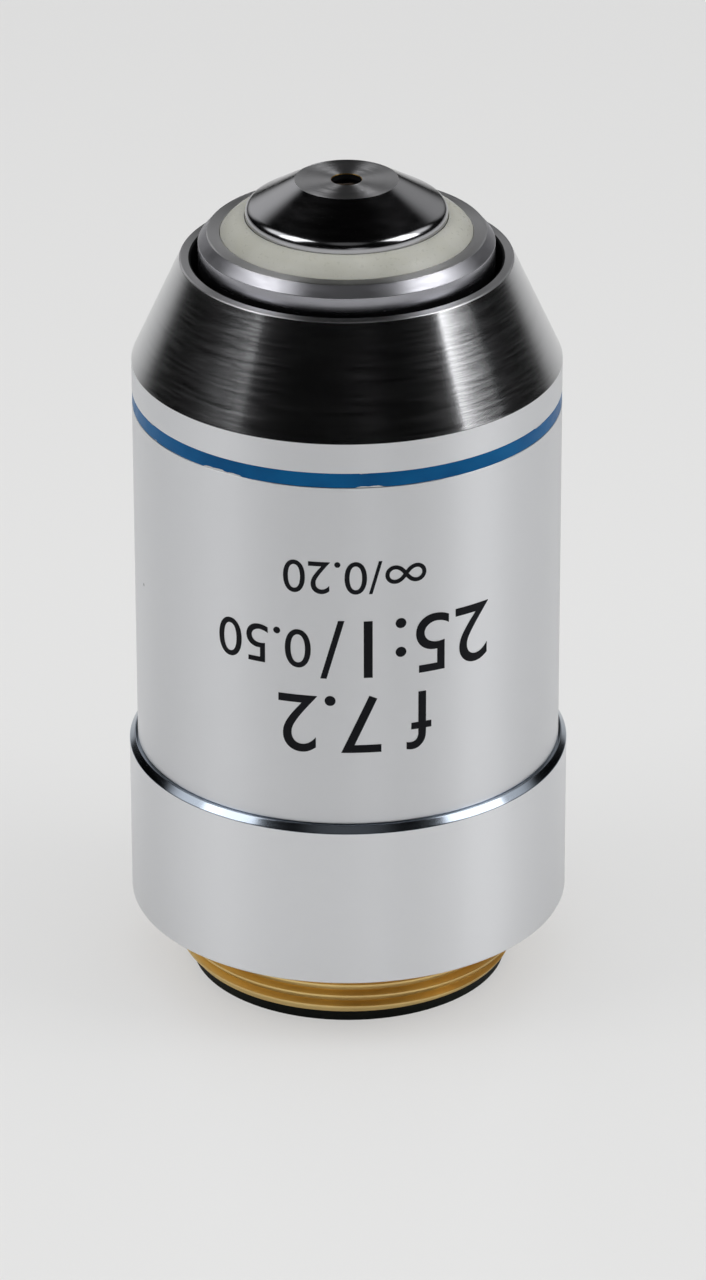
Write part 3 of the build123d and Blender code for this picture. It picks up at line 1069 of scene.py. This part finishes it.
@dataclass
class MountBase(SubAssembly):
    """Base ring, guide tube and brass thread, turned from one bar.

    The crest is the radius of the thread's crests.
    """

    crest: float
    base_step: float = 0.000485
    shoulder_z: float = 0.00435
    seat_z: float = 0.014565
    bevel_height: float = 0.00038
    bevel_width: float = 0.00032
    bevel_fillet: float = 0.00008
    edge_break: float = 0.00015
    edge_fillet: float = 0.00012
    barrel_wall: float = 0.00119
    tube_chamfer: float = 0.0003
    guide_bore: float = 0.0093
    ledge_z: float = 0.009
    ledge_bore: float = 0.0075
    ledge_fillet: float = 0.0001
    rear_bore: float = 0.0086
    rear_bore_depth: float = 0.0027
    relief_depth: float = 0.0006
    relief_width: float = 0.00045
    relief_fillet: float = 0.00005
    undercut: float = 0.0003
    undercut_height: float = 0.00035
    undercut_fillet: float = 0.00004
    pitch: float = 0.0007056
    thread_depth: float = 0.00042
    core_taper: float = 0.0001
    core_taper_height: float = 0.0003
    ridge_start: float = 0.55
    root_width: float = 1.1
    crest_width: float = 0.16
    run_out: float = 0.045
    least_swell: float = 0.05
    screw_hole: float = 0.00083

    THREAD_RESOLUTION = 192
    HOLE_SEGMENTS = 48

    def build(self) -> list[Piece]:
        """Make the base and its thread, and give them."""
        return [self.base(), self.thread()]

    def base(self) -> Piece:
        """Turn the base ring, the guide tube and the thread's core, and drill the screw's hole.

        Returns:
            The base.
        """
        satin, bevel, brass, inner = range(4)
        size = Extent.of("mount_base")
        barrel = size.radius - self.base_step
        tube = barrel - self.barrel_wall
        core = self.crest - self.thread_depth
        relief = self.crest - self.relief_depth
        relief_z = self.shoulder_z - self.relief_width
        undercut = self.crest + self.undercut
        undercut_z = self.shoulder_z + self.undercut_height
        bore_end = size.low + self.rear_bore_depth
        corners = [
            Corner(self.rear_bore, size.low, 0, brass),
            Corner(core - self.core_taper, size.low, 0, brass),
            Corner(core, size.low + self.core_taper_height, 0, brass),
            Corner(core, relief_z, 0, brass),
            Corner(relief, relief_z, self.relief_fillet, brass),
            Corner(relief, undercut_z, self.relief_fillet, brass),
            Corner(undercut, undercut_z, self.relief_fillet, brass),
            Corner(undercut, self.shoulder_z, self.undercut_fillet, satin),
            Corner(size.radius - self.edge_break, self.shoulder_z, self.edge_fillet, satin),
            Corner(size.radius, self.shoulder_z + self.edge_break, self.edge_fillet, satin),
            # The bevel takes the darker, bluish bevel finish, which is painted shade.
            Corner(size.radius, self.seat_z - self.bevel_height, self.bevel_fillet, bevel),
            Corner(size.radius - self.bevel_width, self.seat_z, self.bevel_fillet, bevel),
            Corner(tube, self.seat_z, 0, inner),
            Corner(tube, size.high - self.tube_chamfer, 0, inner),
            Corner(tube - self.tube_chamfer, size.high, 0, inner),
            Corner(self.guide_bore, size.high, 0, inner),
            Corner(self.guide_bore, self.ledge_z, self.ledge_fillet, inner),
            Corner(self.ledge_bore, self.ledge_z, self.ledge_fillet, inner),
            Corner(self.ledge_bore, bore_end, 0, inner),
            Corner(self.rear_bore, bore_end, 0, inner),
        ]
        # The base's satin plating is painted light, brighter than the same plating on the barrel.
        surfaces = (Surface.LIT_BASE_SATIN, Surface.SHADED_BEVEL, Surface.BRASS, Surface.INNER_BRASS)
        made = Lathe.turn("base_ring", Lathe.rounded(corners), *surfaces)
        screw = Extent.of("guide_screw")
        hole = bmesh.new()
        bmesh.ops.create_cone(
            hole,
            cap_ends=True,
            segments=self.HOLE_SEGMENTS,
            radius1=self.screw_hole,
            radius2=self.screw_hole,
            depth=barrel - self.ledge_bore,
        )
        middle = Matrix.Translation(((self.ledge_bore + barrel) / 2, 0, (screw.low + screw.high) / 2))
        cut_away(made, hole, middle @ Matrix.Rotation(math.pi / 2, 4, "Y"))
        return self.dress(made, Body.BARREL, Slot.PLATED_BRASS, "mount_base")

    def thread(self) -> Piece:
        """Wind the thread's ridge round its core.

        Returns:
            The thread.
        """
        low = Extent.of("mount_base").low
        length = self.shoulder_z - self.relief_width - low - self.pitch
        tree = NodeTree("thread_ridge")
        pitch = tree.take("Pitch", self.pitch)
        turns = tree.take("Turns", length / self.pitch)
        root = tree.take("Root radius", self.crest - self.thread_depth)
        start = tree.take("Start height", low + self.pitch * self.ridge_start)
        depth = tree.take("Ridge depth", self.thread_depth * 2)
        root_width = tree.take("Root width", self.pitch * self.root_width)
        crest_width = tree.take("Crest width", self.pitch * self.crest_width)
        run_out = tree.take("Run-out share", self.run_out)
        finish = tree.take("Finish", Surface.BRASS.material)
        path = tree.helix(pitch, turns, root, start, self.THREAD_RESOLUTION)
        place = tree.add("GeometryNodeSplineParameter").outputs["Factor"]
        lead = tree.math("DIVIDE", place, run_out, clamp=True)
        trail = tree.math("DIVIDE", tree.math("SUBTRACT", 1.0, place), run_out, clamp=True)
        swell = tree.math("MAXIMUM", tree.math("MINIMUM", lead, trail), self.least_swell)
        sizes = {"Bottom Width": root_width, "Top Width": crest_width, "Height": depth, "Offset": 0.0}
        section = tree.add("GeometryNodeCurvePrimitiveQuadrilateral", sizes, mode="TRAPEZOID").outputs[0]
        upright = {"Geometry": section, "Rotation": (0, 0, math.pi / 2)}
        profile = tree.add("GeometryNodeTransform", upright).outputs[0]
        sweep = {"Curve": path, "Profile Curve": profile, "Fill Caps": True, "Scale": swell}
        ridge = tree.add("GeometryNodeCurveToMesh", sweep).outputs[0]
        return self.dress(tree.make("mounting_thread", ridge, finish), Body.BARREL, Slot.PLAIN_BRASS)


@dataclass
class RetractionSpring(SubAssembly):
    """Coil spring between the base's ledge and the sleeve's collar."""

    travel: float
    turns: float = 5.0
    coil: float = 0.00825
    wire: float = 0.0004
    inset: float = 0.00016

    COIL_RESOLUTION = 96
    WIRE_RESOLUTION = 20

    def build(self) -> list[Piece]:
        """Wind the spring and grind its ends flat.

        Returns:
            The spring.
        """
        size = Extent.of("retraction_spring")
        tree = NodeTree("spring_coil")
        wire = tree.take("Wire radius", self.wire)
        coil = tree.take("Coil radius", self.coil)
        low = tree.take("Lower end", size.low)
        high = tree.take("Upper end", size.high)
        pitch = tree.take("Pitch", (size.high - size.low - 2 * self.inset) / self.turns)
        turns = tree.take("Turns", self.turns)
        finish = tree.take("Finish", Surface.SPRING.material)
        path = tree.helix(pitch, turns, coil, tree.math("ADD", low, self.inset), self.COIL_RESOLUTION)
        circle = {"Resolution": self.WIRE_RESOLUTION, "Radius": wire}
        section = tree.add("GeometryNodeCurvePrimitiveCircle", circle).outputs[0]
        sweep = {"Curve": path, "Profile Curve": section, "Fill Caps": True}
        wound = tree.add("GeometryNodeCurveToMesh", sweep).outputs[0]
        spot = tree.add("GeometryNodeInputPosition").outputs[0]
        parts = tree.add("ShaderNodeSeparateXYZ", {0: spot}).outputs
        level = tree.math("MINIMUM", tree.math("MAXIMUM", parts["Z"], low), high)
        ground = tree.add("ShaderNodeCombineXYZ", {"X": parts["X"], "Y": parts["Y"], "Z": level}).outputs[0]
        flat = tree.add("GeometryNodeSetPosition", {"Geometry": wound, "Position": ground}).outputs[0]
        made = tree.make("return_spring", flat, finish)
        self.dress(made, Body.BARREL, Slot.SPRING_STEEL, "retraction_spring")
        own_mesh(made)
        return [made]


@dataclass
class Nose(SubAssembly):
    """Sliding sleeve with its seal, front cell and front lens."""

    nose_radius: float = 0.00849
    lens_bore: float = 0.0059
    tail_radius: float = 0.0072
    collar_z: float = 0.019
    collar_top_z: float = 0.031
    nose_edge_z: float = 0.045655
    nose_fillet: float = 0.0001
    inner_fillet: float = 0.0001
    land_width: float = 0.00072
    land_fillet: float = 0.00012
    pocket_fillet: float = 0.00002
    front_bore: float = 0.00503
    fit: float = 0.00003
    slot_width: float = 0.00106
    slot_depth: float = 0.00115
    slot_overrun: float = 0.0005
    slot_length: float = 0.0034
    slot_start: float = 0.02425
    seal_crown: float = 0.00016
    seal_ledge: float = 0.001
    shank_wall: float = 0.0008
    skirt_height: float = 0.00098
    skirt_fillet: float = 0.0006
    skirt_foot_fillet: float = 0.00008
    disc_radius: float = 0.00296
    disc_fillet: float = 0.00004
    hole_radius: float = 0.00087
    hole_edge: float = 0.00006
    lip: float = 0.00035
    lens_fit: float = 0.00002
    lens_edge: float = 0.0009

    SEAL_STEPS = 14
    LENS_STEPS = 16

    def build(self) -> list[Piece]:
        """Make the sleeve, the seal, the front cell and the front lens, and give them."""
        return [self.sleeve(), self.seal(), self.front_cell(), self.front_lens()]

    def sleeve(self) -> Piece:
        """Turn the sleeve and mill its guide slot.

        Returns:
            The sleeve.
        """
        plating, inner, faced, wall = range(4)
        size = Extent.of("lens_sleeve")
        seal = Extent.of("seal_ring")
        cell = Extent.of("front_cell")
        pocket = seal.radius + self.fit
        corners = [
            Corner(self.lens_bore, size.low, 0, inner),
            Corner(self.tail_radius, size.low, self.inner_fillet, inner),
            Corner(self.tail_radius, self.collar_z, self.inner_fillet, inner),
            Corner(size.radius, self.collar_z, self.inner_fillet, inner),
            Corner(size.radius, self.collar_top_z, self.inner_fillet, inner),
            # The wall up to the nose edge takes the darker nose wall finish, which is painted shade for the
            # gap under the barrel's mouth.
            Corner(self.nose_radius, self.collar_top_z, self.inner_fillet, wall),
            Corner(self.nose_radius, self.nose_edge_z, self.nose_fillet, plating),
            Corner(pocket + self.land_width, size.high, self.land_fillet, faced),
            Corner(pocket, size.high, self.pocket_fillet, faced),
            Corner(pocket, seal.low, 0, plating),
            Corner(self.front_bore, seal.low, 0, inner),
            Corner(self.front_bore, cell.low, 0, inner),
            Corner(self.lens_bore, cell.low, 0, inner),
        ]
        surfaces = (Surface.SLEEVE, Surface.INNER_BRASS, Surface.FACED, Surface.SHADED_NOSE_WALL)
        made = Lathe.turn("lens_tube", Lathe.rounded(corners), *surfaces)
        half = self.slot_width / 2
        low = Vector((size.radius - self.slot_depth, -half, self.slot_start))
        high = Vector((size.radius + self.slot_overrun, half, self.slot_start + self.slot_length))
        slot = bmesh.new()
        bmesh.ops.create_cube(slot, size=1.0)
        cut_away(made, slot, Matrix.Translation((low + high) / 2) @ Matrix.Diagonal((*(high - low), 1.0)))
        return self.dress(made, Body.NOSE, Slot.SLEEVE_CHROME, "lens_sleeve")

    def seal(self) -> Piece:
        """Turn the seal with its domed shoulder.

        Returns:
            The seal.
        """
        size = Extent.of("seal_ring")
        outer = Vector((size.radius, Extent.of("lens_sleeve").high))
        inner = Vector((Extent.of("front_cell").radius + self.fit, size.high))
        chord = inner - outer
        outward = Vector((chord.y, -chord.x)).normalized()
        points: list[SectionPoint] = []
        for step in range(self.SEAL_STEPS + 1):
            share = step / self.SEAL_STEPS
            spot = outer + chord * share + outward * (self.seal_crown * 4 * share * (1 - share))
            points.append((spot.x, spot.y, 0))
        ledge_z = size.low + self.seal_ledge
        points += [(inner.x, ledge_z, 0), (self.front_bore, ledge_z, 0)]
        points += [(self.front_bore, size.low, 0), (size.radius, size.low, 0)]
        made = Lathe.turn("seal", points, Surface.CREAM)
        return self.dress(made, Body.NOSE, Slot.CREAM_POLYMER, "seal_ring")

    def front_cell(self) -> Piece:
        """Turn the polished front cell.

        Returns:
            The cell.
        """
        polished, dark, brass, faced = range(4)
        size = Extent.of("front_cell")
        skirt_z = Extent.of("seal_ring").low + self.seal_ledge
        shank = self.front_bore - self.fit
        bore = shank - self.shank_wall
        pocket = Extent.of("front_lens").radius + self.lens_fit
        second_z = Extent.of("second_lens_cell").high
        corners = [
            Corner(bore, size.low, 0, dark),
            Corner(shank, size.low, 0, brass),
            Corner(shank, skirt_z, 0, polished),
            Corner(size.radius, skirt_z, self.skirt_foot_fillet, polished),
            Corner(size.radius, skirt_z + self.skirt_height, self.skirt_fillet, polished),
            Corner(self.disc_radius, size.high, self.disc_fillet, faced),
            Corner(self.hole_radius, size.high, self.disc_fillet, brass),
            Corner(self.hole_radius, size.high - self.hole_edge, 0, dark),
            Corner(self.hole_radius, size.high - self.lip, 0, dark),
            Corner(pocket, size.high - self.lip, 0, dark),
            Corner(pocket, second_z, 0, dark),
            Corner(bore, second_z, 0, dark),
        ]
        surfaces = (Surface.STEEL, Surface.MATT_BLACK, Surface.INNER_BRASS, Surface.FACED)
        made = Lathe.turn("nose_cap", Lathe.rounded(corners), *surfaces)
        return self.dress(made, Body.NOSE, Slot.POLISHED_STEEL, "front_cell")

    def front_lens(self) -> Piece:
        """Turn the plano-convex front lens.

        Returns:
            The lens.
        """
        size = Extent.of("front_lens")
        sag = size.high - self.lens_edge - size.low
        radius = (size.radius**2 + sag**2) / (2 * sag)
        points: list[SectionPoint] = [(0.0, size.high, 0), (size.radius, size.high, 0)]
        for step in range(self.LENS_STEPS + 1):
            reach = size.radius * math.cos(math.pi / 2 * step / self.LENS_STEPS)
            points.append((reach, size.low + radius - math.sqrt(radius**2 - reach**2), 0))
        made = Lathe.turn("front_glass", points, Surface.CROWN)
        return self.dress(made, Body.NOSE, Slot.CROWN_GLASS, "front_lens")


class InnerPieces:
    """Pieces that keep their CAD shape and get their finishes."""

    CHOSEN = {
        Surface.BLACK: ("rear_ring",),
        Surface.INNER_BRASS: ("stop_ring", "lock_ring"),
        Surface.SPRING: ("guide_screw",),
        Surface.MATT_BLACK: (
            "second_lens_cell",
            "front_doublet_cell",
            "doublet_spacer",
            "middle_doublet_cell",
            "aperture_spacer",
            "rear_doublet_cell",
            "lens_retaining_ring",
        ),
        Surface.CROWN: ("front_doublet_crown", "middle_doublet_crown", "rear_doublet_crown"),
        Surface.FLINT: ("second_lens", "front_doublet_flint", "middle_doublet_flint", "rear_doublet_flint"),
    }

    def dress(self, nodes: dict[str, Piece]) -> list[Piece]:
        """Give each of these CAD nodes its material.

        Args:
            nodes: CAD objects by name.

        Returns:
            The dressed CAD objects.
        """
        pairs = [(nodes[name], surface) for surface, names in self.CHOSEN.items() for name in names]
        for piece, surface in pairs:
            piece.data.materials.clear()
            piece.data.materials.append(surface.material)
        return [piece for piece, _ in pairs]


@dataclass(frozen=True)
class Softbox:
    """One soft light, by the part of the sky that it fills.

    Attributes:
        name: Name of the light.
        azimuth: Angle of its middle from the camera's direction, in degrees, to the right.
        elevation: Angle of its middle above the floor, in degrees.
        width: Angle that it fills from side to side, in degrees.
        height: Angle that it fills from bottom to top, in degrees.
        radiance: Brightness of its face.
        mirrored: Whether bright metal shows it.
    """

    name: str
    azimuth: float
    elevation: float
    width: float
    height: float
    radiance: float
    mirrored: bool = True

    def hang(self, aim: Vector, distance: float) -> None:
        """Hang the light.

        Args:
            aim: Point that it faces.
            distance: Distance from that point.
        """
        light = bpy.data.lights.new(self.name, "AREA")
        light.shape = "RECTANGLE"
        light.size = 2 * distance * math.tan(math.radians(self.width / 2))
        light.size_y = 2 * distance * math.tan(math.radians(self.height / 2))
        light.energy = self.radiance * math.pi * light.size * light.size_y
        lamp = bpy.data.objects.new(self.name, light)
        bpy.context.scene.collection.objects.link(lamp)
        out = direction(self.azimuth, self.elevation)
        lamp.location = aim + out * distance
        lamp.rotation_euler = (-out).to_track_quat("-Z", "Y").to_euler()
        lamp.visible_camera = False
        lamp.visible_glossy = self.mirrored


@dataclass(frozen=True)
class Glow:
    """A dim patch of the room that bright metal shows.

    Attributes:
        azimuth: Angle of its middle from the camera's direction, in degrees, to the right.
        elevation: Angle of its middle above the floor, in degrees.
        reach: Angle from its middle to where it has faded out, in degrees.
        radiance: Brightness of its middle.
    """

    azimuth: float
    elevation: float
    reach: float
    radiance: float


@dataclass
class Studio:
    """Pale floor, soft lights, room and camera."""

    target: tuple[float, float, float] = (0.000303, 0.0, 0.020284)
    distance: float = 0.3986
    elevation: float = 26.07
    roll: float = 0.15
    lens: float = 191.25
    sensor: float = 36.0
    clip_start: float = 0.01
    floor_size: float = 6.0
    paper: Colour = linear(228, 228, 227)
    paper_roughness: float = 0.3
    paper_sheen: float = 0.12
    near_tone: float = 0.82
    far_tone: float = 0.782
    tone_start: float = 0.05
    tone_end: float = 0.15
    lit_share: float = 0.42
    mirrored_lit_share: float = 0.85
    paper_radius: float = 0.18
    dark: float = 0.0015
    light_distance: float = 0.7
    lights: tuple[Softbox, ...] = (
        Softbox("right_softbox", 77.2, 38.9, 26.0, 38.2, 2.9),
        Softbox("left_softbox", -72.5, 42.75, 23.0, 34.5, 2.45),
        Softbox("top_light", 0.0, 89.0, 90.0, 90.0, 1.05, mirrored=False),
    )
    glows: tuple[Glow, ...] = (
        Glow(-155.0, 22.0, 24.0, 0.56),
        Glow(155.0, 22.0, 24.0, 0.34),
        Glow(-98.0, 37.0, 19.0, 1.3),
        Glow(104.0, 36.0, 19.0, 0.95),
        Glow(0.0, 57.0, 22.0, 0.12),
        Glow(12.0, 0.0, 14.0, 0.5),
    )

    def build(self) -> None:
        """Set up everything that isn't part of the object."""
        self.floor()
        self.world()
        for light in self.lights:
            light.hang(Vector(self.target), self.light_distance)
        self.camera()
        bpy.context.scene.view_settings.view_transform = "Standard"

    def floor(self) -> None:
        """Lay the pale paper floor, which glows pale with a share of the object's shadow; the glow is
        painted light, brighter in front of the object than behind it and, where metal mirrors it, fading
        away from the object.
        """
        sketch = Sketch("floor_paper")
        base = {
            "Base Color": self.paper,
            "Roughness": self.paper_roughness,
            "Specular IOR Level": self.paper_sheen,
        }
        sketch.feed(base)
        place = sketch.place()
        rays = sketch.add("ShaderNodeLightPath").outputs
        depth = sketch.add("ShaderNodeSeparateXYZ", {0: place}).outputs["Y"]
        reach = sketch.add("ShaderNodeVectorMath", {0: place}, operation="LENGTH").outputs["Value"]
        # Painted light: for mirrored rays the glow fades with distance from the object, and its tone is
        # brighter in front of the object than behind it.
        fade = sketch.math("DIVIDE", self.paper_radius, reach, clamp=True)
        fade = sketch.math("MAXIMUM", fade, rays["Is Camera Ray"])
        tone = sketch.band(depth, self.tone_start, self.tone_end, self.near_tone, self.far_tone)
        plain = sketch.add("ShaderNodeEmission", {"Strength": sketch.math("MULTIPLY", tone, fade)})
        seen = sketch.math("MULTIPLY", rays["Is Camera Ray"], 1 - self.lit_share)
        mirrored = sketch.math("ADD", rays["Is Glossy Ray"], rays["Is Transmission Ray"], clamp=True)
        mirrored = sketch.math("MULTIPLY", mirrored, 1 - self.mirrored_lit_share)
        share = sketch.math("ADD", seen, mirrored, clamp=True)
        parts = {0: share, 1: sketch.shader.outputs[0], 2: plain.outputs[0]}
        sketch.put(sketch.output.inputs["Surface"], sketch.add("ShaderNodeMixShader", parts).outputs[0])
        shape = bmesh.new()
        bmesh.ops.create_grid(shape, x_segments=1, y_segments=1, size=self.floor_size / 2)
        made = add_shape("floor", shape)
        made.data.materials.append(sketch.material)

    def world(self) -> None:
        """Make the room: pale to the camera, and dark with dim patches to the metal."""
        world = bpy.data.worlds.new("room")
        world.use_nodes = True
        nodes = Nodes(world.node_tree)
        ray = nodes.add("ShaderNodeTexCoord").outputs["Generated"]
        room: Any = self.dark
        for glow in self.glows:
            ends = {0: ray, 1: direction(glow.azimuth, glow.elevation)}
            near = nodes.add("ShaderNodeVectorMath", ends, operation="DOT_PRODUCT").outputs["Value"]
            edge = math.cos(math.radians(glow.reach))
            patch = nodes.band(near, edge, 1.0, 0.0, glow.radiance, interpolation_type="SMOOTHSTEP")
            room = nodes.math("ADD", room, patch)
        seen = nodes.add("ShaderNodeLightPath").outputs["Is Camera Ray"]
        choose = nodes.add("ShaderNodeMix", {0: seen, 2: room, 3: self.far_tone}, data_type="FLOAT")
        background = nodes.add("ShaderNodeBackground", {"Color": choose.outputs[0]})
        nodes.add("ShaderNodeOutputWorld", {"Surface": background.outputs[0]})
        bpy.context.scene.world = world

    def camera(self) -> None:
        """Stand the camera where the photograph was taken from."""
        data = bpy.data.cameras.new("camera")
        data.lens = self.lens
        data.sensor_width = self.sensor
        data.clip_start = self.clip_start
        camera = bpy.data.objects.new("camera", data)
        bpy.context.scene.collection.objects.link(camera)
        out = direction(0.0, self.elevation)
        camera.location = Vector(self.target) + out * self.distance
        level = (-out).to_track_quat("-Z", "Y").to_matrix()
        camera.rotation_euler = (level @ Matrix.Rotation(math.radians(-self.roll), 3, "Z")).to_euler()
        bpy.context.scene.camera = camera


def main() -> None:
    """Load the frame, dress every piece and set up the studio."""
    logging.basicConfig(level=logging.INFO, format="%(name)s: %(message)s")
    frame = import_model()
    record = frame["record"]
    mount = next(item for item in record["mounts"] if item["name"] == "mounting_thread")
    crest = mount["dims"]["r_mm"] / MM_PER_METRE
    travel = record["behaviour"]["joints"][0]["range_m"][1]
    for assembly in (MountBase(crest), OuterBarrel(), RetractionSpring(travel), Nose()):
        for piece in assembly.build():
            LOG.info("%s is made, with %d faces", piece.name, len(piece.data.polygons))
    for piece in InnerPieces().dress(frame["nodes"]):
        LOG.info("%s keeps its CAD shape", piece.name)
    Studio().build()


if __name__ == "__main__":
    main()
